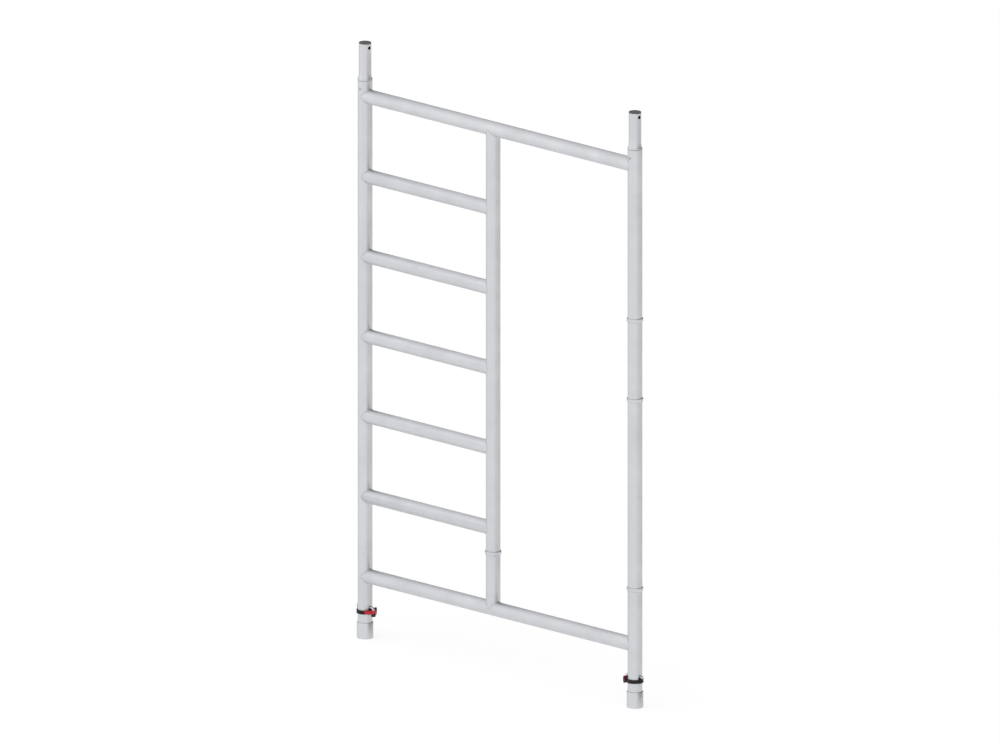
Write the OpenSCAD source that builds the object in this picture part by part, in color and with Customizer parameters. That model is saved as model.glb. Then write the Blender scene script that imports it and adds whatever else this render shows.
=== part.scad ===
// Walk-through end frame of an aluminium scaffold tower, in millimetres.
// X runs along the frame, Y goes through it and Z is up. The origin is midway
// between the outer posts, level with their feet. -Y is the front.

/* [Frame] */
// Distance between the centres of the two outer posts
post_spacing = 1300; // [1250:10:1500]
// Distance from the left post's centre to the middle post's centre
ladder_w = 617; // [550:1:650]
// Height from one rung to the next
rung_pitch = 280; // [270:5:300]
// Height of the bottom rail's centre
bottom_rail_z = 218; // [200:1:230]

/* [Tubes] */
// Outer diameter of the outer posts
post_d = 50; // [50:0.5:52]
// Wall of every frame tube
tube_wall = 2; // [1.6:0.2:2.2]
// How much thinner, in radius, each coped tube is than the tube that it meets
cope_step = 0.2; // [0.1:0.1:0.4]
// Leg length of the weld beads
weld_leg = 2.2; // [1.5:0.1:3]
// Clearance between a weld bead's solid and the tubes that it joins
weld_gap = 0.02; // [0.01:0.01:0.1]

/* [Spigot] */
// Outer diameter of the spigot above its collar
spigot_d = 42.7; // [42:0.1:43]
// Wall of the spigot tube
spigot_wall = 3; // [2.5:0.5:4]
// Height of the spigot above the collar, without its cap
spigot_h = 122; // [122:1:135]
// Depth of the spigot inside the post
insert_h = 90; // [60:5:120]
// Height of the cross-hole above the collar
cross_hole_z = 108.5; // [100:0.5:108.5]
// Diameter of the cross-hole in the spigot and of the lock hole in the post
lock_hole_d = 12; // [11.5:0.5:12]

/* [Socket] */
// Outer diameter of the sleeve round the post's foot
sleeve_d = 56; // [55:0.5:58]
// Height of the sleeve
sleeve_h = 56; // [40:1:70]
// Free bore of the liner that receives a spigot
socket_d = 43.6; // [43.4:0.1:44]
// Height of the liner
liner_h = 100; // [60:5:100]

/* [Rings] */
// Outer diameter of the stop rings
ring_d = 56.4; // [55:0.2:58]
// Height of a stop ring
ring_h = 13.5; // [10:0.5:16]
// Height of the lowest ring's top face, on the middle and right posts
low_ring_z = 420; // [400:1:430]

/* [Lock] */
// Outer diameter of the lock band
band_d = 58.6; // [57:0.2:60]
// Height of the lock band's lower edge
band_z = 87.5; // [85:0.5:88]
// Height of the lock band
band_h = 12.5; // [10:0.5:13.5]
// Diameter of the bent locking pin
pin_d = 10; // [9.5:0.1:10]
// Reach of the locking pin past the post's centre, on the outer side
pin_reach = 38; // [36:0.5:42]
// Distance from the post's centre to the pin's upright leg
pin_leg_u = 40; // [40:0.5:44]

/* [Hidden] */
$fn = 96;

// Frame layout
rung_count = 5;
post_x = post_spacing / 2;
middle_x = ladder_w - post_x;
top_rail_z = bottom_rail_z + (rung_count + 1) * rung_pitch;
frame_h = (rung_count + 2) * rung_pitch;
collar_h = 6;
post_h = frame_h - collar_h;

// Tube radii: posts, then the tubes that are coped onto them
post_r = post_d / 2;
rail_r = post_r - cope_step;
middle_r = rail_r - cope_step;
rung_r = middle_r - cope_step;
post_bore_r = post_r - tube_wall;

// Spigot, cap and rivets
spigot_r = spigot_d / 2;
spigot_bore_r = spigot_r - spigot_wall;
collar_r = post_r + 0.3;
flare_r = spigot_r + 2;
flare_h = 15;
cap_r = spigot_r - 0.35;
cap_h = 3.5;
cap_chamfer = 1;
cap_plug_h = 5;
rivet_z = frame_h - 34;
rivet_r = 3;
rivet_head_r = 4.5;
rivet_head_h = 1.8;
rivet_tail_r = 4;
rivet_tail_h = 2.5;

// Lock, drawn for the left post: +X is inwards and the lever closes on -Y.
// The pin lies in two open cradles, one on each side of the band.
lock_z = cross_hole_z + 0.5;
lock_hole_r = lock_hole_d / 2;
pin_r = pin_d / 2;
pin_chamfer = 1.5;
pin_bend_r = 6;
cradle_w = 14;
cradle_face = post_r + 5.5;
cradle_hole_r = pin_r + 0.1;
hub_r = 9;
hub_bore_r = pin_r + 0.08;
lever_z = 91;
lever_h = 10.5;
lever_in_r = 32.3;
lever_out_r = 39;
lever_end = -42;
nose_r = 2.2;
grip_hub_r = 7.5;
grip_z = 80.5;
grip_hub_h = 10;
grip_floor_h = 2;
grip_in_r = 33;
grip_out_r = 40;
pad_angle = 34;
pad_r = 10.5;
pad_z = 97;

// Colours
alu = [0.82, 0.83, 0.85];
cast = [0.76, 0.77, 0.79];
black = [0.12, 0.12, 0.13];
red = [0.78, 0.08, 0.11];
steel = [0.7, 0.71, 0.73];

// A solid rod along X, from x0 to x1 at height z
module rod_x(r, x0, x1, z) {
    translate([x0, 0, z])
        rotate([0, 90, 0])
            cylinder(r = r, h = x1 - x0);
}

// A tube along X, with the frame's wall
module tube_x(r, x0, x1, z) {
    difference() {
        rod_x(r, x0, x1, z);
        rod_x(r - tube_wall, x0 - 1, x1 + 1, z);
    }
}

// A tube along Z, from z0 to z1
module tube_z(r_out, r_in, z0, z1) {
    translate([0, 0, z0])
        difference() {
            cylinder(r = r_out, h = z1 - z0);
            translate([0, 0, -1])
                cylinder(r = r_in, h = z1 - z0 + 2);
        }
}

// A solid rod along Z, used to cope the ends of the tubes that meet it
module core_z(x, r, z, reach) {
    translate([x, 0, z - reach])
        cylinder(r = r, h = 2 * reach);
}

// One rivet shank, head and tail on the side that s points to, along Y
module rivet(s) {
    rotate([-90 * s, 0, 0]) {
        translate([0, 0, spigot_bore_r - 1])
            cylinder(r = rivet_r, h = post_r - spigot_bore_r + 1.5);
        translate([0, 0, spigot_bore_r - 0.5 - rivet_tail_h])
            cylinder(r = rivet_tail_r, h = rivet_tail_h);
    }
    difference() {
        rotate([-90 * s, 0, 0])
            translate([0, 0, post_r - 1])
                cylinder(r1 = rivet_head_r, r2 = rivet_head_r - 1.2, h = rivet_head_h + 1);
        translate([0, 0, -2 * rivet_head_r])
            cylinder(r = post_r, h = 4 * rivet_head_r);
    }
}

module rivet_holes() {
    translate([0, 0, rivet_z])
        rotate([90, 0, 0])
            cylinder(r = rivet_r, h = 3 * post_r, center = true);
}

module post(x) {
    color(alu)
        translate([x, 0, 0])
            difference() {
                tube_z(post_r, post_bore_r, 0, post_h);
                rod_x(lock_hole_r, -2 * post_r, 2 * post_r, lock_z);
                rivet_holes();
            }
}

module middle_post() {
    color(alu)
        difference() {
            translate([middle_x, 0, 0])
                tube_z(middle_r, middle_r - tube_wall, bottom_rail_z, top_rail_z);
            rod_x(rail_r, middle_x - 2 * post_r, middle_x + 2 * post_r, bottom_rail_z);
            rod_x(rail_r, middle_x - 2 * post_r, middle_x + 2 * post_r, top_rail_z);
        }
}

module rail(z) {
    color(alu)
        difference() {
            tube_x(rail_r, -post_x, post_x, z);
            core_z(-post_x, post_r, z, post_d);
            core_z(post_x, post_r, z, post_d);
        }
}

module rung(number) {
    z = bottom_rail_z + number * rung_pitch;
    color(alu)
        difference() {
            tube_x(rung_r, -post_x, middle_x, z);
            core_z(-post_x, post_r, z, post_d);
            core_z(middle_x, middle_r, z, post_d);
        }
}

// The bead round a horizontal tube where it meets a post, on the post's side s
module saddle_weld(x, r_post, r_tube, z, s) {
    bead_r = r_post + weld_leg;
    intersection() {
        translate([x, 0, z])
            tube_z(bead_r, r_post + weld_gap, -post_d, post_d);
        difference() {
            rod_x(r_tube + weld_leg, min(x, x + s * bead_r), max(x, x + s * bead_r), z);
            rod_x(r_tube + weld_gap, x - post_d, x + post_d, z);
        }
    }
}

// The bead round the middle post's end where it stands on a rail, above it or below
module post_end_weld(z, s) {
    bead_r = rail_r + weld_leg;
    intersection() {
        difference() {
            rod_x(bead_r, middle_x - post_d, middle_x + post_d, z);
            rod_x(rail_r + weld_gap, middle_x - 2 * post_d, middle_x + 2 * post_d, z);
        }
        translate([middle_x, 0, 0])
            tube_z(middle_r + weld_leg, middle_r + weld_gap, min(z, z + s * bead_r), max(z, z + s * bead_r));
    }
}

module left_post_welds() {
    color(cast) {
        for (k = [1 : rung_count])
            saddle_weld(-post_x, post_r, rung_r, bottom_rail_z + k * rung_pitch, 1);
        for (z = [bottom_rail_z, top_rail_z])
            saddle_weld(-post_x, post_r, rail_r, z, 1);
    }
}

module middle_post_welds() {
    color(cast) {
        for (k = [1 : rung_count])
            saddle_weld(middle_x, middle_r, rung_r, bottom_rail_z + k * rung_pitch, -1);
        post_end_weld(bottom_rail_z, 1);
        post_end_weld(top_rail_z, -1);
    }
}

module right_post_welds() {
    color(cast)
        for (z = [bottom_rail_z, top_rail_z])
            saddle_weld(post_x, post_r, rail_r, z, -1);
}

module spigot(x) {
    color(alu)
        translate([x, 0, 0])
            difference() {
                rotate_extrude()
                    polygon([
                        [spigot_bore_r, post_h - insert_h],
                        [post_bore_r, post_h - insert_h],
                        [post_bore_r, post_h],
                        [collar_r, post_h],
                        [collar_r, frame_h],
                        [flare_r, frame_h],
                        [spigot_r, frame_h + flare_h],
                        [spigot_r, frame_h + spigot_h],
                        [spigot_bore_r, frame_h + spigot_h]
                    ]);
                rod_x(lock_hole_r, -post_d, post_d, frame_h + cross_hole_z);
                rivet_holes();
            }
}

module spigot_cap(x) {
    color([0.33, 0.34, 0.35])
        translate([x, 0, frame_h + spigot_h])
            rotate_extrude()
                polygon([
                    [0, -cap_plug_h],
                    [spigot_bore_r, -cap_plug_h],
                    [spigot_bore_r, 0],
                    [cap_r, 0],
                    [cap_r, cap_h - cap_chamfer],
                    [cap_r - cap_chamfer, cap_h],
                    [0, cap_h]
                ]);
}

module spigot_rivets(x) {
    color(steel)
        translate([x, 0, rivet_z])
            for (s = [-1, 1])
                rivet(s);
}

module socket_sleeve(x) {
    color(alu)
        translate([x, 0, 0])
            tube_z(sleeve_d / 2, post_r, 0, sleeve_h);
}

module socket_liner(x) {
    color(cast)
        translate([x, 0, 0])
            tube_z(post_bore_r, socket_d / 2, 0, liner_h);
}

// A collar with a flat top seat and a rounded underside, on a tube of radius r
module stop_ring(x, r, top_z) {
    ring_r = ring_d / 2;
    color(cast)
        translate([x, 0, top_z])
            rotate_extrude()
                polygon([
                    [r, 0],
                    [ring_r, 0],
                    [ring_r, -0.35 * ring_h],
                    [r + 0.75 * (ring_r - r), -0.65 * ring_h],
                    [r + 0.38 * (ring_r - r), -0.88 * ring_h],
                    [r, -ring_h]
                ]);
}

// The two locks are one moulding: the right one is the left one turned half a turn
module at_post(s) {
    translate([s * post_x, 0, 0])
        rotate([0, 0, s > 0 ? 180 : 0])
            children();
}

module lock_band(s) {
    color(black)
        at_post(s)
            difference() {
                union() {
                    translate([0, 0, band_z])
                        cylinder(r = band_d / 2, h = band_h);
                    translate([-cradle_face, -cradle_w / 2, band_z])
                        cube([2 * cradle_face, cradle_w, lock_z - band_z]);
                }
                cylinder(r = post_r, h = 2 * lock_z);
                rod_x(cradle_hole_r, -post_d, post_d, lock_z);
            }
}

// A round bar bent to a right angle: a long level leg and a short upright one
module lock_pin(s) {
    color(steel)
        at_post(s) {
            translate([-pin_reach, 0, lock_z])
                rotate([0, 90, 0])
                    cylinder(r1 = pin_r - pin_chamfer, r2 = pin_r, h = pin_chamfer);
            rod_x(pin_r, pin_chamfer - pin_reach, pin_leg_u - pin_bend_r, lock_z);
            translate([pin_leg_u - pin_bend_r, 0, lock_z - pin_bend_r])
                rotate([90, 0, 0])
                    rotate_extrude(angle = 90)
                        translate([pin_bend_r, 0])
                            circle(r = pin_r);
            translate([pin_leg_u, 0, grip_z + grip_floor_h])
                cylinder(r = pin_r, h = lock_z - pin_bend_r - grip_z - grip_floor_h);
        }
}

// A flat slice of a ring, from angle a0 to a1
module ring_sector(r_in, r_out, a0, a1) {
    reach = 2 * r_out;
    intersection() {
        difference() {
            circle(r = r_out);
            circle(r = r_in);
        }
        polygon([
            [0, 0],
            [reach * cos(a0), reach * sin(a0)],
            [reach * cos(a1), reach * sin(a1)]
        ]);
    }
}

// The round finger pad, curved round the post
module finger_pad() {
    intersection() {
        tube_z(grip_out_r, grip_in_r, pad_z - 2 * pad_r, pad_z + 2 * pad_r);
        rotate(pad_angle)
            rod_x(pad_r, 0, 2 * grip_out_r, pad_z);
    }
}

module pin_grip(s) {
    color(black)
        at_post(s)
            difference() {
                union() {
                    translate([pin_leg_u, 0, grip_z])
                        cylinder(r = grip_hub_r, h = grip_hub_h);
                    translate([0, 0, grip_z + grip_floor_h])
                        linear_extrude(grip_hub_h - grip_floor_h)
                            ring_sector(grip_in_r, grip_out_r, 0, pad_angle);
                    finger_pad();
                }
                translate([pin_leg_u, 0, grip_z + grip_floor_h])
                    cylinder(r = pin_r, h = grip_hub_h);
            }
}

module lock_lever(s) {
    arm_r = (lever_in_r + lever_out_r) / 2;
    color(red)
        at_post(s)
            translate([0, 0, lever_z])
                linear_extrude(lever_h)
                    difference() {
                        union() {
                            translate([pin_leg_u, 0])
                                circle(r = hub_r);
                            ring_sector(lever_in_r, lever_out_r, lever_end, 0);
                            rotate(lever_end)
                                translate([arm_r, 0])
                                    circle(r = (lever_out_r - lever_in_r) / 2);
                            rotate(lever_end + 2)
                                translate([lever_in_r + 0.2, 0])
                                    circle(r = nose_r);
                        }
                        translate([pin_leg_u, 0])
                            circle(r = hub_bore_r);
                    }
}

post(-post_x);  // left_post
post(post_x);  // right_post
middle_post();
rail(top_rail_z);  // top_rail
rail(bottom_rail_z);  // bottom_rail
rung(1);  // rung_1
rung(2);  // rung_2
rung(3);  // rung_3
rung(4);  // rung_4
rung(5);  // rung_5
left_post_welds();
middle_post_welds();
right_post_welds();
spigot(-post_x);  // left_spigot
spigot(post_x);  // right_spigot
spigot_cap(-post_x);  // left_spigot_cap
spigot_cap(post_x);  // right_spigot_cap
spigot_rivets(-post_x);  // left_spigot_rivets
spigot_rivets(post_x);  // right_spigot_rivets
socket_sleeve(-post_x);  // left_socket_sleeve
socket_sleeve(post_x);  // right_socket_sleeve
socket_liner(-post_x);  // left_socket_liner
socket_liner(post_x);  // right_socket_liner
stop_ring(middle_x, middle_r, low_ring_z);  // middle_post_ring
stop_ring(post_x, post_r, low_ring_z);  // right_lower_ring
stop_ring(post_x, post_r, bottom_rail_z + 3 * rung_pitch + post_r);  // right_middle_ring
stop_ring(post_x, post_r, bottom_rail_z + 4 * rung_pitch + post_r);  // right_upper_ring
lock_band(-1);  // left_lock_band
lock_band(1);  // right_lock_band
lock_pin(-1);  // left_lock_pin
lock_pin(1);  // right_lock_pin
pin_grip(-1);  // left_pin_grip
pin_grip(1);  // right_pin_grip
lock_lever(-1);  // left_lock_lever
lock_lever(1);  // right_lock_lever
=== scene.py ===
import math
import random

import bmesh
import bpy
from mathutils import Matrix, Vector


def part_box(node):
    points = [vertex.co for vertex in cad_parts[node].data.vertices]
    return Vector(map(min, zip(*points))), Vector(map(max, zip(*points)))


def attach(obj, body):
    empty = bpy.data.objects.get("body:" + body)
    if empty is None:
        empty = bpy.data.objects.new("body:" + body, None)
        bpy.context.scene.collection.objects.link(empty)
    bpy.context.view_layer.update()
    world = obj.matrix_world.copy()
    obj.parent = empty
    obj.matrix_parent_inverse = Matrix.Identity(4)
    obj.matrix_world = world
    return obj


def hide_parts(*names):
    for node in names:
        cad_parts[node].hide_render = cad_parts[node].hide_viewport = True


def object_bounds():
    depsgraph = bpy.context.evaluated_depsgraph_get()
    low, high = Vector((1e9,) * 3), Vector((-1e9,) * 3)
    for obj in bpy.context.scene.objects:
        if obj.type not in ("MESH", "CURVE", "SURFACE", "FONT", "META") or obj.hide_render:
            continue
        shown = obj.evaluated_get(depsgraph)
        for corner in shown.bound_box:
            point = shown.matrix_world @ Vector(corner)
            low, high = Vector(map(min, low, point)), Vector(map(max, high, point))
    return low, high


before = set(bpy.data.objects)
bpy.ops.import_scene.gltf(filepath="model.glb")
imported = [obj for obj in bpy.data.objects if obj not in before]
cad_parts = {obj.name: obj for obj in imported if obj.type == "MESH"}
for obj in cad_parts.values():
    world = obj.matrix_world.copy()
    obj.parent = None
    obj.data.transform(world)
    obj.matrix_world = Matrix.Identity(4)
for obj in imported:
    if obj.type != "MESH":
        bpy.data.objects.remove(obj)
cad_low, cad_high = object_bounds()
mm = 0.001


# ---- Camera, floor and light ----
# A parallel view from the front right, a little above. The floor is white, and
# the soft light from all round falls away to near dark towards the back.

view_azimuth = math.radians(45.3)
view_elevation = math.radians(14.75)
view_width = 3.3875
camera_distance = 6.0

back = Vector((
    math.sin(view_azimuth) * math.cos(view_elevation),
    -math.cos(view_azimuth) * math.cos(view_elevation),
    math.sin(view_elevation),
))
camera_data = bpy.data.cameras.new("camera")
camera_data.type = "ORTHO"
camera_data.ortho_scale = view_width
camera = bpy.data.objects.new("camera", camera_data)
camera.location = (cad_low + cad_high) / 2 + back * camera_distance
camera.rotation_euler = (-back).to_track_quat("-Z", "Y").to_euler()
bpy.context.collection.objects.link(camera)
bpy.context.scene.camera = camera
bpy.context.scene.view_settings.view_transform = "Standard"


def new_material(name):
    """A material with an empty tree, its Principled BSDF and its output."""
    material = bpy.data.materials.new(name)
    material.use_nodes = True
    nodes = material.node_tree.nodes
    return material, nodes, material.node_tree.links, nodes["Principled BSDF"]


floor_size = 60.0
floor_mesh = bpy.data.meshes.new("floor")
floor_shape = bmesh.new()
bmesh.ops.create_grid(floor_shape, x_segments=1, y_segments=1, size=floor_size / 2)
floor_shape.to_mesh(floor_mesh)
floor_shape.free()
floor = bpy.data.objects.new("floor", floor_mesh)
bpy.context.collection.objects.link(floor)
floor_paint, _, _, floor_shader = new_material("floor_paint")
floor_shader.inputs["Base Color"].default_value = (0.25, 0.25, 0.25, 1)
floor_shader.inputs["Roughness"].default_value = 1.0
floor_shader.inputs["Specular IOR Level"].default_value = 0.0
floor_shader.inputs["Emission Color"].default_value = (1, 1, 1, 1)
floor_shader.inputs["Emission Strength"].default_value = 0.82
floor_mesh.materials.append(floor_paint)

world = bpy.data.worlds.new("studio")
world.use_nodes = True
bpy.context.scene.world = world
sky = world.node_tree.nodes
sky_links = world.node_tree.links
sky_way = sky.new("ShaderNodeTexCoord")
sky_side = sky.new("ShaderNodeVectorMath")
sky_side.operation = "DOT_PRODUCT"
sky_side.inputs[1].default_value = (0.35, 0.937, 0.0)
sky_ramp = sky.new("ShaderNodeMapRange")
sky_ramp.interpolation_type = "SMOOTHSTEP"
sky_ramp.inputs["From Min"].default_value = -0.05
sky_ramp.inputs["From Max"].default_value = 0.75
sky_ramp.inputs["To Min"].default_value = 1.0
sky_ramp.inputs["To Max"].default_value = 0.06
sky_links.new(sky_way.outputs["Generated"], sky_side.inputs[0])
sky_links.new(sky_side.outputs["Value"], sky_ramp.inputs["Value"])
sky_links.new(sky_ramp.outputs["Result"], sky["Background"].inputs["Strength"])
sky["Background"].inputs["Color"].default_value = (1.0, 1.0, 1.0, 1)


def soft_box(name, place, size, power):
    """A square soft light at a place, facing the middle of the object."""
    lamp = bpy.data.lights.new(name, "AREA")
    lamp.size = size
    lamp.energy = power
    stand = bpy.data.objects.new(name, lamp)
    stand.location = place
    way = (cad_low + cad_high) / 2 - Vector(place)
    stand.rotation_euler = way.to_track_quat("-Z", "Y").to_euler()
    bpy.context.collection.objects.link(stand)


soft_box("key_light", (-3.5, -4.5, 3.2), 3.0, 18)
soft_box("fill_light", (4.5, -3.5, 2.6), 3.0, 6)


# ---- Outer posts ----
# Two lengths of extruded aluminium tube, cut square and deburred. Each is
# drilled across for the locking pin, and front to back for the spigot's rivets.

post_low, post_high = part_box("left_post")
tube_wall = 2 * mm
post_radius = (post_high.x - post_low.x) / 2
post_bore = post_radius - tube_wall
post_centres = {
    side: (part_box(side + "_post")[0].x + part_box(side + "_post")[1].x) / 2
    for side in ("left", "right")
}
deburr = 0.5 * mm
turns = 128


def extrusion_grain():
    """Fine lines drawn along a tube by the die, and cloudy handling marks."""
    group = bpy.data.node_groups.new("extrusion_grain", "ShaderNodeTree")
    face = group.interface
    face.new_socket("Drawn Vector", in_out="INPUT", socket_type="NodeSocketVector")
    face.new_socket("Plain Vector", in_out="INPUT", socket_type="NodeSocketVector")
    face.new_socket("Lines", in_out="OUTPUT", socket_type="NodeSocketFloat")
    face.new_socket("Marks", in_out="OUTPUT", socket_type="NodeSocketFloat")
    nodes, links = group.nodes, group.links
    inlet = nodes.new("NodeGroupInput")
    outlet = nodes.new("NodeGroupOutput")
    lines = nodes.new("ShaderNodeTexNoise")
    lines.inputs["Scale"].default_value = 700
    lines.inputs["Detail"].default_value = 3
    lines.inputs["Roughness"].default_value = 0.65
    marks = nodes.new("ShaderNodeTexNoise")
    marks.inputs["Scale"].default_value = 9
    marks.inputs["Detail"].default_value = 5
    marks.inputs["Roughness"].default_value = 0.6
    links.new(inlet.outputs["Drawn Vector"], lines.inputs["Vector"])
    links.new(inlet.outputs["Plain Vector"], marks.inputs["Vector"])
    links.new(lines.outputs["Fac"], outlet.inputs["Lines"])
    links.new(marks.outputs["Fac"], outlet.inputs["Marks"])
    return group


grain_group = extrusion_grain()


def ranged(nodes, links, value, low, high, from_low=0.0, from_high=1.0):
    """A value carried from one range to another."""
    node = nodes.new("ShaderNodeMapRange")
    node.inputs["From Min"].default_value = from_low
    node.inputs["From Max"].default_value = from_high
    node.inputs["To Min"].default_value = low
    node.inputs["To Max"].default_value = high
    links.new(value, node.inputs["Value"])
    return node.outputs["Result"]


def blended(nodes, links, value, first, second):
    """A colour between two colours."""
    node = nodes.new("ShaderNodeMix")
    node.data_type = "RGBA"
    node.inputs["A"].default_value = (*first, 1)
    node.inputs["B"].default_value = (*second, 1)
    links.new(value, node.inputs["Factor"])
    return node.outputs["Result"]


def drawn_alloy(name, stretch, pale, dull, rough_low, rough_high):
    """Mill-finish extruded tube: stretch is small along the way it was drawn."""
    material, nodes, links, shader = new_material(name)
    place = nodes.new("ShaderNodeTexCoord")
    along = nodes.new("ShaderNodeMapping")
    along.inputs["Scale"].default_value = stretch
    grain = nodes.new("ShaderNodeGroup")
    grain.node_tree = grain_group
    links.new(place.outputs["Object"], along.inputs["Vector"])
    links.new(along.outputs["Vector"], grain.inputs["Drawn Vector"])
    links.new(place.outputs["Object"], grain.inputs["Plain Vector"])
    marks = ranged(nodes, links, grain.outputs["Marks"], 0, 1, 0.35, 0.65)
    links.new(blended(nodes, links, marks, pale, dull), shader.inputs["Base Color"])
    rough = nodes.new("ShaderNodeMath")
    rough.operation = "ADD"
    links.new(ranged(nodes, links, grain.outputs["Marks"], rough_low, rough_high, 0.3, 0.7), rough.inputs[0])
    links.new(ranged(nodes, links, grain.outputs["Lines"], -0.04, 0.04, 0.3, 0.7), rough.inputs[1])
    links.new(rough.outputs["Value"], shader.inputs["Roughness"])
    ridges = nodes.new("ShaderNodeBump")
    ridges.inputs["Strength"].default_value = 0.25
    ridges.inputs["Distance"].default_value = 0.06 * mm
    links.new(grain.outputs["Lines"], ridges.inputs["Height"])
    links.new(ridges.outputs["Normal"], shader.inputs["Normal"])
    shader.inputs["Metallic"].default_value = 1.0
    shader.inputs["Specular Tint"].default_value = (0.72, 0.73, 0.75, 1)
    return material


upright_alloy = drawn_alloy(
    "upright_alloy", (1, 1, 0.01), (0.655, 0.665, 0.685), (0.62, 0.63, 0.65), 0.38, 0.50
)


def turned(outline, x, y=0.0, steps=turns, closed=True):
    """A round piece spun from its half outline of (radius, height) points."""
    shape = bmesh.new()
    corners = [shape.verts.new((radius, 0, height)) for radius, height in outline]
    pairs = list(zip(corners, corners[1:]))
    if closed:
        pairs.append((corners[-1], corners[0]))
    lines = [shape.edges.new(pair) for pair in pairs]
    bmesh.ops.spin(
        shape, geom=corners + lines, cent=(0, 0, 0), axis=(0, 0, 1), dvec=(0, 0, 0),
        angle=math.tau, steps=steps, use_merge=True, use_normal_flip=False, use_duplicate=False,
    )
    bmesh.ops.remove_doubles(shape, verts=shape.verts, dist=0.001 * mm)
    bmesh.ops.recalc_face_normals(shape, faces=shape.faces)
    bmesh.ops.translate(shape, verts=shape.verts, vec=(x, y, 0))
    return shape


def finished(name, shape, body, slot, material, *nodes, crease=35):
    """Makes a piece of a shape: smooth faces, sharp corners, its finish and its body."""
    mesh = bpy.data.meshes.new(name)
    shape.to_mesh(mesh)
    shape.free()
    mesh.polygons.foreach_set("use_smooth", [True] * len(mesh.polygons))
    mesh.set_sharp_from_angle(angle=math.radians(crease))
    mesh.materials.append(material)
    piece = bpy.data.objects.new(name, mesh)
    bpy.context.collection.objects.link(piece)
    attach(piece, body)
    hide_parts(*nodes)
    return piece


def rod(radius, start, end, steps=64):
    """A plain round rod from one point to another, to drill with or to build up a part."""
    shape = bmesh.new()
    way = Vector(end) - Vector(start)
    turn = way.to_track_quat("Z", "Y").to_matrix().to_4x4()
    bmesh.ops.create_cone(
        shape, cap_ends=True, segments=steps, radius1=radius, radius2=radius, depth=way.length,
        matrix=Matrix.Translation((Vector(start) + Vector(end)) / 2) @ turn,
    )
    return shape


def drilled(shape, *drills):
    """A shape with holes cut through it by other shapes."""
    meshes = []
    for part in (shape, *drills):
        mesh = bpy.data.meshes.new("work")
        part.to_mesh(mesh)
        part.free()
        meshes.append(mesh)
    work = bpy.data.objects.new("work", meshes[0])
    bpy.context.collection.objects.link(work)
    bits = []
    for mesh in meshes[1:]:
        bit = bpy.data.objects.new("bit", mesh)
        bpy.context.collection.objects.link(bit)
        cut = work.modifiers.new("cut", "BOOLEAN")
        cut.operation = "DIFFERENCE"
        cut.solver = "EXACT"
        cut.object = bit
        bits.append(bit)
    bpy.context.view_layer.update()
    made = bpy.data.meshes.new_from_object(work.evaluated_get(bpy.context.evaluated_depsgraph_get()))
    result = bmesh.new()
    result.from_mesh(made)
    for thing in (work, *bits):
        bpy.data.objects.remove(thing)
    for mesh in (*meshes, made):
        bpy.data.meshes.remove(mesh)
    return result


pin_radius = 5 * mm
lock_axis_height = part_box("left_lock_pin")[1].z - pin_radius
lock_hole_radius = 6 * mm
rivet_low, rivet_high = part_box("left_spigot_rivets")
rivet_height = (rivet_low.z + rivet_high.z) / 2
rivet_shank_radius = 3 * mm
drill_reach = 40 * mm


def cross_drill(radius, x, height):
    """A drill that goes through an upright tube from left to right."""
    return rod(radius, (x - drill_reach, 0, height), (x + drill_reach, 0, height))


def rivet_drill(x):
    """The drill for both rivets of one post, from front to back."""
    return rod(rivet_shank_radius, (x, -drill_reach, rivet_height), (x, drill_reach, rivet_height))


for side, x in post_centres.items():
    wall = [
        (post_bore + deburr, post_low.z),
        (post_radius - deburr, post_low.z),
        (post_radius, post_low.z + deburr),
        (post_radius, lock_axis_height - 12 * mm),
        (post_radius, lock_axis_height + 12 * mm),
        (post_radius, rivet_height - 8 * mm),
        (post_radius, rivet_height + 8 * mm),
        (post_radius, post_high.z - 0.6 * deburr),
        (post_radius - 0.6 * deburr, post_high.z),
        (post_bore + deburr, post_high.z),
        (post_bore, post_high.z - deburr),
        (post_bore, post_low.z + deburr),
    ]
    tube = drilled(turned(wall, x), cross_drill(lock_hole_radius, x, lock_axis_height), rivet_drill(x))
    finished(side + "_outer_post", tube, "frame", "tube", upright_alloy, side + "_post")


# ---- Foot sleeves and socket liners ----
# A thicker sleeve shrunk round the foot of each post, and a liner pressed
# inside it. The liner's bore is the socket that drops over the spigot below.

sleeve_chamfer = 0.9 * mm
liner_bore = 21.8 * mm
liner_mouth = 1.5 * mm

for side, x in post_centres.items():
    low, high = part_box(side + "_socket_sleeve")
    radius = (high.x - low.x) / 2
    wall = [
        (post_radius, low.z),
        (radius - sleeve_chamfer, low.z),
        (radius, low.z + sleeve_chamfer),
        (radius, high.z - sleeve_chamfer),
        (radius - 0.35 * sleeve_chamfer, high.z - 0.3 * sleeve_chamfer),
        (radius - sleeve_chamfer, high.z),
        (post_radius, high.z),
    ]
    sleeve = turned(wall, x)
    finished(side + "_foot_sleeve", sleeve, "frame", "tube", upright_alloy, side + "_socket_sleeve")
    low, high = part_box(side + "_socket_liner")
    wall = [
        (post_bore, low.z),
        (liner_bore + liner_mouth, low.z),
        (liner_bore, low.z + liner_mouth),
        (liner_bore, high.z - deburr),
        (liner_bore + deburr, high.z),
        (post_bore, high.z),
    ]
    liner = turned(wall, x)
    finished(side + "_foot_liner", liner, "frame", "tube", upright_alloy, side + "_socket_liner")


# ---- Rails and rungs ----
# Extruded tube with fine anti-slip ribs along it. Each end is coped to a
# saddle, so that it sits tight against the round post that it is welded to.

rib_count = 48
rib_depth = 0.35 * mm
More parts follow.
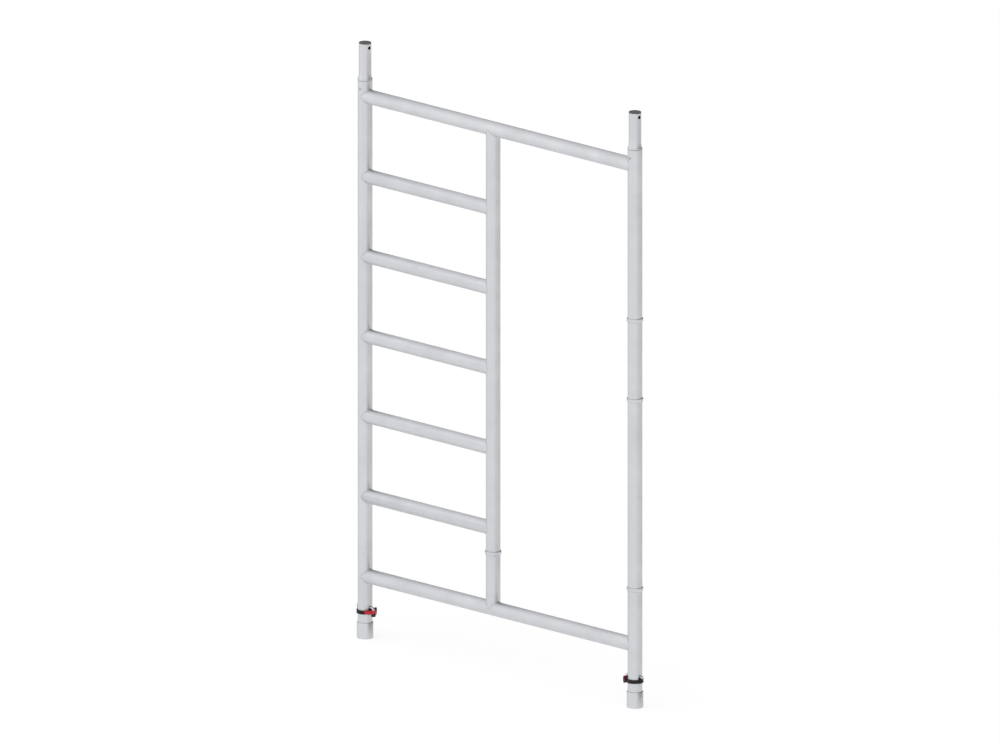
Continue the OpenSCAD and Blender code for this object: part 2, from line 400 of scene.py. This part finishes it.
# Along one rib and its groove: the share of the way, and the share of the depth.
rib_outline = ((0.0, 0.0), (0.58, 0.0), (0.70, 1.0), (0.90, 1.0))
level_alloy = drawn_alloy(
    "level_alloy", (0.01, 1, 1), (0.655, 0.665, 0.685), (0.62, 0.63, 0.65), 0.38, 0.50
)
middle_low, middle_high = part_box("middle_post")
middle_centre = (middle_low.x + middle_high.x) / 2
middle_radius = (middle_high.x - middle_low.x) / 2


def ribbed_ring(shape, x, radius, ribs):
    """One ring round the X axis; with ribs at 1 it has its grooves, and at 0 it is plain."""
    points = [
        ((number + share) / rib_count * math.tau, radius - ribs * depth * rib_depth)
        for number in range(rib_count)
        for share, depth in rib_outline
    ]
    ring = [shape.verts.new((x, r * math.cos(a), r * math.sin(a))) for a, r in points]
    return [shape.edges.new(pair) for pair in zip(ring, ring[1:] + ring[:1])]


def coped_tube(radius, height, left, left_radius, right, right_radius):
    """A ribbed tube along X whose ends fit against two upright tubes."""
    shape = bmesh.new()
    rings = [
        ribbed_ring(shape, left, radius, 1),
        ribbed_ring(shape, right, radius, 1),
        ribbed_ring(shape, right, radius - tube_wall, 0),
        ribbed_ring(shape, left, radius - tube_wall, 0),
    ]
    for first, second in zip(rings, rings[1:] + rings[:1]):
        bmesh.ops.bridge_loops(shape, edges=first + second)
    for corner in shape.verts:
        at_left = corner.co.x < (left + right) / 2
        meets = left_radius if at_left else right_radius
        saddle = math.sqrt(max(0.0, meets ** 2 - corner.co.y ** 2))
        corner.co.x = left + saddle if at_left else right - saddle
    bmesh.ops.recalc_face_normals(shape, faces=shape.faces)
    bmesh.ops.translate(shape, verts=shape.verts, vec=(0, 0, height))
    return shape


rail_heights = {}
for node in ("bottom_rail", "top_rail", "rung_1", "rung_2", "rung_3", "rung_4", "rung_5"):
    low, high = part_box(node)
    radius = (high.z - low.z) / 2
    rail_heights[node] = ((low.z + high.z) / 2, radius)
    far_post = node.endswith("rail")
    tube = coped_tube(
        radius, (low.z + high.z) / 2, post_centres["left"], post_radius,
        post_centres["right"] if far_post else middle_centre,
        post_radius if far_post else middle_radius,
    )
    finished("ribbed_" + node, tube, "frame", "rung_tube", level_alloy, node, crease=50)


# ---- Middle post ----
# The same tube as the outer posts. It stands between the doorway and the ladder,
# coped to fit down over the bottom rail and up under the top one.

rail_radius = rail_heights["top_rail"][1]
bottom_height = rail_heights["bottom_rail"][0]
top_height = rail_heights["top_rail"][0]
middle_wall = [
    (middle_radius, bottom_height),
    (middle_radius, top_height),
    (middle_radius - tube_wall, top_height),
    (middle_radius - tube_wall, bottom_height),
]
tube = turned(middle_wall, 0)
for corner in tube.verts:
    at_bottom = corner.co.z < (bottom_height + top_height) / 2
    saddle = math.sqrt(max(0.0, rail_radius ** 2 - corner.co.y ** 2))
    corner.co.z = bottom_height + saddle if at_bottom else top_height - saddle
bmesh.ops.translate(tube, verts=tube.verts, vec=(middle_centre, 0, 0))
finished("coped_middle_post", tube, "frame", "tube", upright_alloy, "middle_post")


# ---- Weld beads ----
# One run of fillet weld round each joint, laid as a row of overlapping
# ripples. They are left as welded, duller and rougher than the tubes.

bead_radius = 1.8 * mm
bead_lift = 0.2 * mm
bead_sides = 10
bead_ripples = 46
bead_steps = 230
thin_share = 0.82
ripple_share = 0.28
side_flattening = 0.6
weld_random = random.Random(7)

weld_alloy, weld_nodes, weld_links, weld_shader = new_material("weld_alloy")
weld_place = weld_nodes.new("ShaderNodeTexCoord")
weld_soot = weld_nodes.new("ShaderNodeTexNoise")
weld_soot.inputs["Scale"].default_value = 260
weld_soot.inputs["Detail"].default_value = 4
weld_links.new(weld_place.outputs["Object"], weld_soot.inputs["Vector"])
weld_links.new(
    blended(weld_nodes, weld_links, weld_soot.outputs["Fac"], (0.66, 0.67, 0.685), (0.56, 0.565, 0.58)),
    weld_shader.inputs["Base Color"],
)
weld_links.new(
    ranged(weld_nodes, weld_links, weld_soot.outputs["Fac"], 0.40, 0.60), weld_shader.inputs["Roughness"]
)
weld_shader.inputs["Metallic"].default_value = 1.0


def saddle_bead(shape, tube_radius, meets, side):
    """A rippled bead round a tube along X, on the skin of an upright post at X = 0."""
    start = len(shape.verts)
    ring = bmesh.ops.create_circle(shape, segments=bead_sides, radius=bead_radius)["verts"]
    edges = list({edge for v in ring for edge in v.link_edges})
    bmesh.ops.translate(shape, verts=ring, vec=(0, tube_radius + bead_lift, 0))
    bmesh.ops.spin(
        shape, geom=ring + edges, cent=(0, 0, 0), axis=(1, 0, 0), dvec=(0, 0, 0), angle=math.tau,
        steps=bead_steps, use_merge=True, use_normal_flip=False, use_duplicate=False,
    )
    shape.verts.ensure_lookup_table()
    made = shape.verts[start:]
    swing = weld_random.uniform(0, math.tau)
    for corner in made:
        angle = math.atan2(corner.co.z, corner.co.y)
        core = Vector((0, math.cos(angle), math.sin(angle))) * (tube_radius + bead_lift)
        ripple = abs(math.sin(bead_ripples * angle / 2 + swing))
        lean = (thin_share + ripple_share * ripple) * (1 - side_flattening * math.cos(angle) ** 6)
        corner.co = core + (corner.co - core) * lean
        depth = min(abs(core.y), meets)
        corner.co.x += side * math.sqrt(max(0.0, meets ** 2 - depth ** 2))
    return made


def weld_bead(shape, tube_radius, meets, side, upright, place):
    """One bead, turned upright for a post that stands on a rail, and put in place."""
    made = saddle_bead(shape, tube_radius, meets, side)
    if upright:
        bmesh.ops.rotate(shape, verts=made, cent=(0, 0, 0), matrix=Matrix.Rotation(-math.pi / 2, 3, "Y"))
    bmesh.ops.translate(shape, verts=made, vec=place)


left_beads = bmesh.new()
middle_beads = bmesh.new()
right_beads = bmesh.new()
for node, (height, radius) in rail_heights.items():
    weld_bead(left_beads, radius, post_radius, 1, False, (post_centres["left"], 0, height))
    if node.endswith("rail"):
        weld_bead(right_beads, radius, post_radius, -1, False, (post_centres["right"], 0, height))
    else:
        weld_bead(middle_beads, radius, middle_radius, -1, False, (middle_centre, 0, height))
weld_bead(middle_beads, middle_radius, rail_radius, 1, True, (middle_centre, 0, bottom_height))
weld_bead(middle_beads, middle_radius, rail_radius, -1, True, (middle_centre, 0, top_height))
for side, beads in (("left", left_beads), ("middle", middle_beads), ("right", right_beads)):
    bmesh.ops.recalc_face_normals(beads, faces=beads.faces)
    finished(side + "_weld_beads", beads, "frame", "weld", weld_alloy, side + "_post_welds", crease=60)


# ---- Stop rings ----
# Turned aluminium collars with a flat seat on top for hooks to rest on,
# blended into the post below with a smooth run of weld.

seat_edge = 0.4 * mm
seat_share = 0.33
turned_alloy = drawn_alloy(
    "turned_alloy", (0.6, 0.6, 8), (0.65, 0.66, 0.68), (0.61, 0.62, 0.64), 0.34, 0.46
)

for node, radius in (
    ("middle_post_ring", middle_radius),
    ("right_lower_ring", post_radius),
    ("right_middle_ring", post_radius),
    ("right_upper_ring", post_radius),
):
    low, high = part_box(node)
    reach = (high.x - low.x) / 2 - radius
    drop = high.z - low.z
    x = (low.x + high.x) / 2
    seat = [
        (radius, high.z),
        (radius + reach - seat_edge, high.z),
        (radius + reach, high.z - seat_edge),
        (radius + reach, high.z - seat_share * drop),
    ]
    fade = [
        (radius + reach * math.cos(a) ** 1.2, high.z - drop * (seat_share + (1 - seat_share) * math.sin(a)))
        for a in (math.radians(degrees) for degrees in range(12, 90, 12))
    ]
    ring = turned(seat + fade + [(radius, low.z)], x)
    finished(node + "_collar", ring, "frame", "cast_ring", turned_alloy, node)


# ---- Spigots ----
# A stepped tube in the top of each outer post. Its collar rests on the post,
# a short flare centres the frame above, and one cross-hole takes its lock pin.

spigot_bore = 18.35 * mm
shoulder_height = 6 * mm
shoulder_edge = 0.8 * mm
seam_height = 1.2 * mm
seam_edge = 0.2 * mm
cap_inset = 0.35 * mm
cross_hole_radius = 6 * mm
cap_low, cap_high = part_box("left_spigot_cap")
cap_radius = (cap_high.x - cap_low.x) / 2
spigot_low, spigot_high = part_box("left_spigot")
spigot_radius = cap_radius + cap_inset
spigot_edge = 0.4 * mm
collar_radius = (spigot_high.x - spigot_low.x) / 2
seam_bottom = post_high.z
seam_radius = post_bore + 0.7 * mm
seam_top = seam_bottom + seam_height
shoulder_top = post_high.z + shoulder_height
cross_hole_height = spigot_high.z - 13.5 * mm
# The bore and the seam's inner land get a rough, near-black alloy. The roughness is a dull oxide finish, and
# the near-black colour is painted shade for the dark inside of the tube and its slot.
bore_painted_shade = drawn_alloy(
    "bore_painted_shade", (1, 1, 0.01), (0.10, 0.10, 0.105), (0.06, 0.06, 0.064), 0.6, 0.75
)

for side, x in post_centres.items():
    steps_out = [
        (spigot_bore, spigot_low.z),
        (post_bore - deburr, spigot_low.z),
        (post_bore, spigot_low.z + deburr),
        (post_bore, seam_bottom),
        (seam_radius, seam_bottom),
        (seam_radius, seam_top),
        (collar_radius - seam_edge, seam_top),
        (collar_radius, seam_top + seam_edge),
        (collar_radius, shoulder_top - shoulder_edge),
        (collar_radius - shoulder_edge, shoulder_top),
        (spigot_radius + 2 * mm, shoulder_top),
        (spigot_radius + 1.5 * mm, shoulder_top + 3 * mm),
        (spigot_radius + 0.5 * mm, shoulder_top + 10.5 * mm),
        (spigot_radius, shoulder_top + 15 * mm),
        (spigot_radius, cross_hole_height - 10 * mm),
        (spigot_radius, cross_hole_height + 9.5 * mm),
        (spigot_radius, spigot_high.z - spigot_edge),
        (spigot_radius - spigot_edge, spigot_high.z),
        (spigot_bore, spigot_high.z),
    ]
    tube = drilled(
        turned(steps_out, x), cross_drill(cross_hole_radius, x, cross_hole_height), rivet_drill(x)
    )
    spigot = finished(side + "_stepped_spigot", tube, "frame", "tube", upright_alloy, side + "_spigot")
    spigot.data.materials.append(bore_painted_shade)
    # Faces in the bore and in the seam's slot take the second material, the painted shade.
    for face in spigot.data.polygons:
        reach = math.hypot(face.center.x - x, face.center.y)
        height = face.center.z
        in_bore = reach < spigot_radius - 0.2 * mm and spigot_low.z + mm < height < spigot_high.z - mm
        in_seam = reach < collar_radius - 0.5 * mm and seam_bottom < height < seam_top + deburr
        if in_bore or in_seam:
            face.material_index = 1


# ---- Spigot caps ----
# Dark grey moulded plugs that keep dirt and rain out of the tubes. The flange
# has a soft edge, a shallow dished top and the mark of its moulding gate.

cap_plastic, cap_nodes, cap_links, cap_shader = new_material("cap_plastic")
cap_place = cap_nodes.new("ShaderNodeTexCoord")
cap_speckle = cap_nodes.new("ShaderNodeTexNoise")
cap_speckle.inputs["Scale"].default_value = 1400
cap_speckle.inputs["Detail"].default_value = 2
cap_links.new(cap_place.outputs["Object"], cap_speckle.inputs["Vector"])
cap_links.new(
    blended(cap_nodes, cap_links, cap_speckle.outputs["Fac"], (0.075, 0.08, 0.082), (0.10, 0.105, 0.108)),
    cap_shader.inputs["Base Color"],
)
cap_links.new(
    ranged(cap_nodes, cap_links, cap_speckle.outputs["Fac"], 0.45, 0.62), cap_shader.inputs["Roughness"]
)
cap_grain = cap_nodes.new("ShaderNodeBump")
cap_grain.inputs["Strength"].default_value = 0.35
cap_grain.inputs["Distance"].default_value = 0.05 * mm
cap_links.new(cap_speckle.outputs["Fac"], cap_grain.inputs["Height"])
cap_links.new(cap_grain.outputs["Normal"], cap_shader.inputs["Normal"])

cap_edge = 0.9 * mm
gate_radius = 1.6 * mm

for side, x in post_centres.items():
    rim = [
        (cap_radius - cap_edge * (1 - math.cos(a)), cap_high.z - cap_edge * (1 - math.sin(a)))
        for a in (math.radians(degrees) for degrees in range(0, 91, 15))
    ]
    top = [
        (cap_radius - 3.2 * mm, cap_high.z),
        (cap_radius - 3.9 * mm, cap_high.z - 0.5 * mm),
        (gate_radius + 0.3 * mm, cap_high.z - 0.6 * mm),
        (gate_radius, cap_high.z - 0.25 * mm),
        (0.0, cap_high.z - 0.25 * mm),
    ]
    plug = [
        (0.0, cap_low.z),
        (spigot_bore - 0.6 * mm, cap_low.z),
        (spigot_bore, cap_low.z + 1.0 * mm),
        (spigot_bore, spigot_high.z),
        (cap_radius, spigot_high.z),
    ]
    cap = turned(plug + rim + top, x, closed=False)
    finished(side + "_end_cap", cap, "frame", "cap", cap_plastic, side + "_spigot_cap")


# ---- Spigot rivets ----
# Blind rivets front and back hold each spigot in its post. Each has a low
# dome with the dimple left by its snapped stem, and a swollen tail inside.

rivet_metal = drawn_alloy(
    "rivet_metal", (1, 1, 1), (0.47, 0.475, 0.485), (0.40, 0.405, 0.415), 0.34, 0.48
)
rivet_head_radius = 4.5 * mm
rivet_top = rivet_high.y


def joined(*shapes):
    """Several shapes as one mesh, each with its own closed skin."""
    mesh = bpy.data.meshes.new("work")
    whole = bmesh.new()
    for shape in shapes:
        shape.to_mesh(mesh)
        shape.free()
        whole.from_mesh(mesh)
    bpy.data.meshes.remove(mesh)
    return whole


for side, x in post_centres.items():
    pair = []
    for turn in (math.pi / 2, -math.pi / 2):
        one = [
            (0.0, spigot_bore - 2.9 * mm),
            (2.8 * mm, spigot_bore - 2.9 * mm),
            (3.9 * mm, spigot_bore - 1.9 * mm),
            (3.6 * mm, spigot_bore - 0.6 * mm),
            (rivet_shank_radius, spigot_bore),
            (rivet_shank_radius, post_radius - 0.4 * mm),
            (rivet_head_radius - 0.3 * mm, post_radius - 0.4 * mm),
            (rivet_head_radius, post_radius),
            (3.9 * mm, rivet_top - 0.75 * mm),
            (2.6 * mm, rivet_top - 0.15 * mm),
            (1.5 * mm, rivet_top),
            (1.0 * mm, rivet_top - 0.7 * mm),
            (0.0, rivet_top - 0.8 * mm),
        ]
        rivet = turned(one, 0, steps=48, closed=False)
        bmesh.ops.rotate(rivet, verts=rivet.verts, cent=(0, 0, 0), matrix=Matrix.Rotation(turn, 3, "X"))
        bmesh.ops.translate(rivet, verts=rivet.verts, vec=(x, 0, rivet_height))
        pair.append(rivet)
    finished(
        side + "_blind_rivets", joined(*pair), "frame", "rivet", rivet_metal, side + "_spigot_rivets"
    )


# ---- Lock bands ----
# A black nylon band round each post, moulded in one piece with two open cradles
# that carry the locking pin. The right lock is the left one turned half a turn.

band_low, band_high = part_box("left_lock_band")
band_outer = (band_high.y - band_low.y) / 2
band_bottom = band_low.z
band_top = band_bottom + 12.5 * mm
cradle_face = (band_high.x - band_low.x) / 2
cradle_width = 14 * mm
cradle_bore = pin_radius + 0.1 * mm
band_groove = 0.7 * mm
band_stock = 1 * mm


def moulded_nylon(name, base, worn, rough_low, rough_high):
    """Moulded nylon with a fine spark-eroded grain and rubbed patches."""
    material, nodes, links, shader = new_material(name)
    place = nodes.new("ShaderNodeTexCoord")
    fine = nodes.new("ShaderNodeTexNoise")
    fine.inputs["Scale"].default_value = 2200
    fine.inputs["Detail"].default_value = 2
    rubbed = nodes.new("ShaderNodeTexNoise")
    rubbed.inputs["Scale"].default_value = 70
    rubbed.inputs["Detail"].default_value = 4
    for node in (fine, rubbed):
        links.new(place.outputs["Object"], node.inputs["Vector"])
    patches = ranged(nodes, links, rubbed.outputs["Fac"], 0, 1, 0.45, 0.7)
    links.new(blended(nodes, links, patches, base, worn), shader.inputs["Base Color"])
    rough = ranged(nodes, links, rubbed.outputs["Fac"], rough_high, rough_low, 0.35, 0.7)
    links.new(rough, shader.inputs["Roughness"])
    grain = nodes.new("ShaderNodeBump")
    grain.inputs["Strength"].default_value = 0.3
    grain.inputs["Distance"].default_value = 0.04 * mm
    links.new(fine.outputs["Fac"], grain.inputs["Height"])
    links.new(grain.outputs["Normal"], shader.inputs["Normal"])
    shader.inputs["Specular IOR Level"].default_value = 0.28
    return material


black_nylon = moulded_nylon(
    "black_nylon", (0.008, 0.0085, 0.009), (0.014, 0.0145, 0.015), 0.42, 0.58
)


def prism(points, low, high):
    """A block with the given plan, from one height to another."""
    shape = bmesh.new()
    plan = shape.faces.new([shape.verts.new((x, y, low)) for x, y in points])
    raised = bmesh.ops.extrude_face_region(shape, geom=[plan])["geom"]
    lifted = [part for part in raised if isinstance(part, bmesh.types.BMVert)]
    bmesh.ops.translate(shape, verts=lifted, vec=(0, 0, high - low))
    bmesh.ops.recalc_face_normals(shape, faces=shape.faces)
    return shape


def arc(radius, start, end, count=24, centre=(0.0, 0.0)):
    """Points along an arc, with its angles in degrees."""
    angles = [math.radians(start + (end - start) * step / count) for step in range(count + 1)]
    return [(centre[0] + radius * math.cos(a), centre[1] + radius * math.sin(a)) for a in angles]


def fused(parts, grain, rounds):
    """Overlapping blocks fused into one moulding with softened edges."""
    mesh = bpy.data.meshes.new("work")
    whole = joined(*parts)
    whole.to_mesh(mesh)
    whole.free()
    work = bpy.data.objects.new("work", mesh)
    bpy.context.collection.objects.link(work)
    skin = work.modifiers.new("skin", "REMESH")
    skin.mode = "VOXEL"
    skin.voxel_size = grain
    soften = work.modifiers.new("soften", "SMOOTH")
    soften.factor = 0.5
    soften.iterations = rounds
    bpy.context.view_layer.update()
    made = bpy.data.meshes.new_from_object(work.evaluated_get(bpy.context.evaluated_depsgraph_get()))
    result = bmesh.new()
    result.from_mesh(made)
    bpy.data.objects.remove(work)
    bpy.data.meshes.remove(mesh)
    bpy.data.meshes.remove(made)
    return result


def placed(shape, side):
    """Moves a lock part from the origin to its post; the right one is turned half a turn."""
    if side == "right":
        half_turn = Matrix.Rotation(math.pi, 3, "Z")
        bmesh.ops.rotate(shape, verts=shape.verts, cent=(0, 0, 0), matrix=half_turn)
    bmesh.ops.translate(shape, verts=shape.verts, vec=(post_centres[side], 0, 0))
    return shape


for side in post_centres:
    middle = (band_bottom + band_top) / 2
    hoop = [
        (post_radius - band_stock, band_bottom),
        (band_outer, band_bottom),
        (band_outer, middle - 1.6 * mm),
        (band_outer - band_groove, middle - 1.0 * mm),
        (band_outer - band_groove, middle + 1.0 * mm),
        (band_outer, middle + 1.6 * mm),
        (band_outer, band_top),
        (post_radius - band_stock, band_top),
    ]
    half = cradle_width / 2
    plan = [(-cradle_face, -half), (cradle_face, -half), (cradle_face, half), (-cradle_face, half)]
    cradle = prism(plan, band_bottom, lock_axis_height)
    band = drilled(
        fused([turned(hoop, 0), cradle], 0.4 * mm, 3),
        rod(post_radius, (0, 0, band_bottom - 20 * mm), (0, 0, band_bottom + 60 * mm), steps=turns),
        rod(cradle_bore, (-2 * cradle_face, 0, lock_axis_height), (2 * cradle_face, 0, lock_axis_height)),
    )
    finished(
        side + "_nylon_band", placed(band, side), "frame", "lock_black", black_nylon, side + "_lock_band"
    )


# ---- Locking pins ----
# A zinc-plated steel bar bent to a right angle. The long leg goes through the
# post and lies in the band's cradles; the short leg hangs down.

pin_low, pin_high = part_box("left_lock_pin")
pin_tip = pin_low.x - post_centres["left"]
pin_leg = pin_high.x - post_centres["left"] - pin_radius
pin_bend = 6 * mm
pin_chamfer = 1.5 * mm

zinc_plate = drawn_alloy("zinc_plate", (1, 1, 1), (0.66, 0.67, 0.69), (0.58, 0.60, 0.63), 0.24, 0.36)


def drawn_on(bar, edges, move, grow=1.0):
    """Draws the open end of a bar on along a move, and returns the edges of its new end."""
    pushed = bmesh.ops.extrude_edge_only(bar, edges=edges)["geom"]
    ends = [part for part in pushed if isinstance(part, bmesh.types.BMVert)]
    bmesh.ops.translate(bar, verts=ends, vec=move)
    if grow != 1.0:
        hub = sum((v.co for v in ends), Vector()) / len(ends)
        for v in ends:
            v.co = hub + (v.co - hub) * grow
    return [part for part in pushed if isinstance(part, bmesh.types.BMEdge)]


for side in post_centres:
    bar = bmesh.new()
    ring = bmesh.ops.create_circle(bar, segments=48, radius=pin_radius - pin_chamfer, cap_ends=False)["verts"]
    bmesh.ops.rotate(bar, verts=ring, cent=(0, 0, 0), matrix=Matrix.Rotation(math.pi / 2, 3, "Y"))
    bmesh.ops.translate(bar, verts=ring, vec=(pin_tip, 0, lock_axis_height))
    bmesh.ops.contextual_create(bar, geom=list(bar.edges))
    edge = list({e for v in ring for e in v.link_edges})
    edge = drawn_on(bar, edge, (pin_chamfer, 0, 0), grow=pin_radius / (pin_radius - pin_chamfer))
    edge = drawn_on(bar, edge, (pin_leg - pin_bend - pin_tip - pin_chamfer, 0, 0))
    corners = list({v for e in edge for v in e.verts})
    swept = bmesh.ops.spin(
        bar, geom=corners + edge, cent=(pin_leg - pin_bend, 0, lock_axis_height - pin_bend),
        axis=(0, 1, 0), dvec=(0, 0, 0), angle=math.pi / 2, steps=16,
        use_merge=False, use_normal_flip=False, use_duplicate=False,
    )["geom_last"]
    edge = [part for part in swept if isinstance(part, bmesh.types.BMEdge)]
    edge = drawn_on(bar, edge, (0, 0, pin_low.z - (lock_axis_height - pin_bend)))
    bmesh.ops.contextual_create(bar, geom=edge)
    bmesh.ops.remove_doubles(bar, verts=bar.verts, dist=0.001 * mm)
    bmesh.ops.recalc_face_normals(bar, faces=bar.faces)
    finished(
        side + "_bent_pin", placed(bar, side), side + "_pin", "pin_steel", zinc_plate, side + "_lock_pin"
    )


# ---- Pin grips ----
# A nylon moulding in two colours, pressed on the pin's lower end. Its black hub
# keeps the lever on, and a finger pulls on the round, ribbed red pad, whose red is painted darker than the
# lever's as painted shade.

grip_low, grip_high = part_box("left_pin_grip")
grip_hub = 7.5 * mm
grip_inner = 33 * mm
grip_outer = 40 * mm
grip_hub_height = 10 * mm
grip_top = grip_low.z + grip_hub_height
grip_floor = grip_low.z + 2 * mm
pad_angle = 34
pad_radius = 10.5 * mm
pad_height = grip_top + 6.5 * mm
pad_steps = 36
pad_rib_radius = 0.9 * mm
pad_rib_reach = grip_outer - 0.3 * mm
# Each rib's angle round the post, and half its length.
pad_rib_halves = {pad_angle - 7: 6 * mm, pad_angle: 7 * mm, pad_angle + 7: 6 * mm}
mould_grain = 0.35 * mm
# The pad's red is much darker than the lever's red nylon. This is painted shade for the pad, which faces away
# from the light.
pad_red_painted_shade = moulded_nylon("pad_red_painted_shade", (0.115, 0.006, 0.022), (0.145, 0.010, 0.028), 0.40, 0.54)


def bow(inner, outer, start, end):
    """The plan of a curved plate round the post."""
    return arc(outer, start, end) + arc(inner, end, start)


def finger_pad():
    """A round pad bent to a curve round the post."""
    shape = bmesh.new()
    rings = []
    for radius in (grip_inner, grip_outer):
        hub = shape.verts.new((radius, 0, 0))
        ring = [
            shape.verts.new((radius, pad_radius * math.cos(a), pad_radius * math.sin(a)))
            for a in (math.tau * step / pad_steps for step in range(pad_steps))
        ]
        for first, second in zip(ring, ring[1:] + ring[:1]):
            shape.faces.new((hub, first, second))
        rings.append(ring)
    inner, outer = rings
    for corners in zip(inner, outer, outer[1:] + outer[:1], inner[1:] + inner[:1]):
        shape.faces.new(corners)
    bmesh.ops.subdivide_edges(shape, edges=shape.edges, cuts=2, use_grid_fill=True)
    for corner in shape.verts:
        corner.co.x = math.sqrt(max(0.0, corner.co.x ** 2 - corner.co.y ** 2))
    bmesh.ops.recalc_face_normals(shape, faces=shape.faces)
    swing = Matrix.Rotation(math.radians(pad_angle), 3, "Z")
    bmesh.ops.rotate(shape, verts=shape.verts, cent=(0, 0, 0), matrix=swing)
    bmesh.ops.translate(shape, verts=shape.verts, vec=(0, 0, pad_height))
    return shape


def standing_rod(radius, angle, reach, low, high, steps):
    """An upright rod, at an angle in degrees and a reach from the post's axis."""
    way = Vector((math.cos(math.radians(angle)), math.sin(math.radians(angle)), 0)) * reach
    return rod(radius, way + Vector((0, 0, low)), way + Vector((0, 0, high)), steps=steps)


for side in post_centres:
    hub = rod(grip_hub, (pin_leg, 0, grip_low.z), (pin_leg, 0, grip_top), steps=72)
    web = prism(bow(grip_inner, grip_outer, 0, pad_angle), grip_floor, grip_top)
    bore = rod(pin_radius, (pin_leg, 0, grip_floor), (pin_leg, 0, grip_top + 2 * grip_hub_height))
    grip = drilled(fused([hub, web], mould_grain, 2), bore, finger_pad())
    ribs = [
        standing_rod(pad_rib_radius, angle, pad_rib_reach, pad_height - half, pad_height + half, 16)
        for angle, half in pad_rib_halves.items()
    ]
    pad = fused([finger_pad(), *ribs], mould_grain, 2)
    # The pad's faces take the darker red, the painted shade.
    for face in pad.faces:
        face.material_index = 1
    piece = finished(
        side + "_finger_grip", placed(joined(grip, pad), side), side + "_pin", "lock_black", black_nylon,
        side + "_pin_grip",
    )
    piece.data.materials.append(pad_red_painted_shade)


# ---- Lock levers ----
# The red nylon lever turns on the pin's short leg. Its arm closes round the
# front of the band and a small nose snaps behind it to keep the pin home.

lever_low, lever_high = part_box("left_lock_lever")
lever_hub = 9 * mm
lever_inner = 32.3 * mm
lever_outer = 39 * mm
lever_end = -42
lever_bore = pin_radius + 0.08 * mm
tip_radius = (lever_outer - lever_inner) / 2
nose_radius = 2.2 * mm
red_nylon = moulded_nylon("red_nylon", (0.52, 0.010, 0.018), (0.57, 0.022, 0.030), 0.28, 0.42)

for side in post_centres:
    hub = rod(lever_hub, (pin_leg, 0, lever_low.z), (pin_leg, 0, lever_high.z), steps=72)
    arm = prism(bow(lever_inner, lever_outer, lever_end, 0), lever_low.z, lever_high.z)
    tip = standing_rod(tip_radius, lever_end, lever_inner + tip_radius, lever_low.z, lever_high.z, 48)
    nose = standing_rod(nose_radius, lever_end + 2, lever_inner + 0.2 * mm, lever_low.z, lever_high.z, 36)
    lever = fused([hub, arm, tip, nose], mould_grain, 3)
    bore = rod(lever_bore, (pin_leg, 0, lever_low.z - 10 * mm), (pin_leg, 0, lever_high.z + 10 * mm))
    finished(
        side + "_snap_lever", placed(drilled(lever, bore), side), side + "_lever", "lock_red", red_nylon,
        side + "_lock_lever",
    )
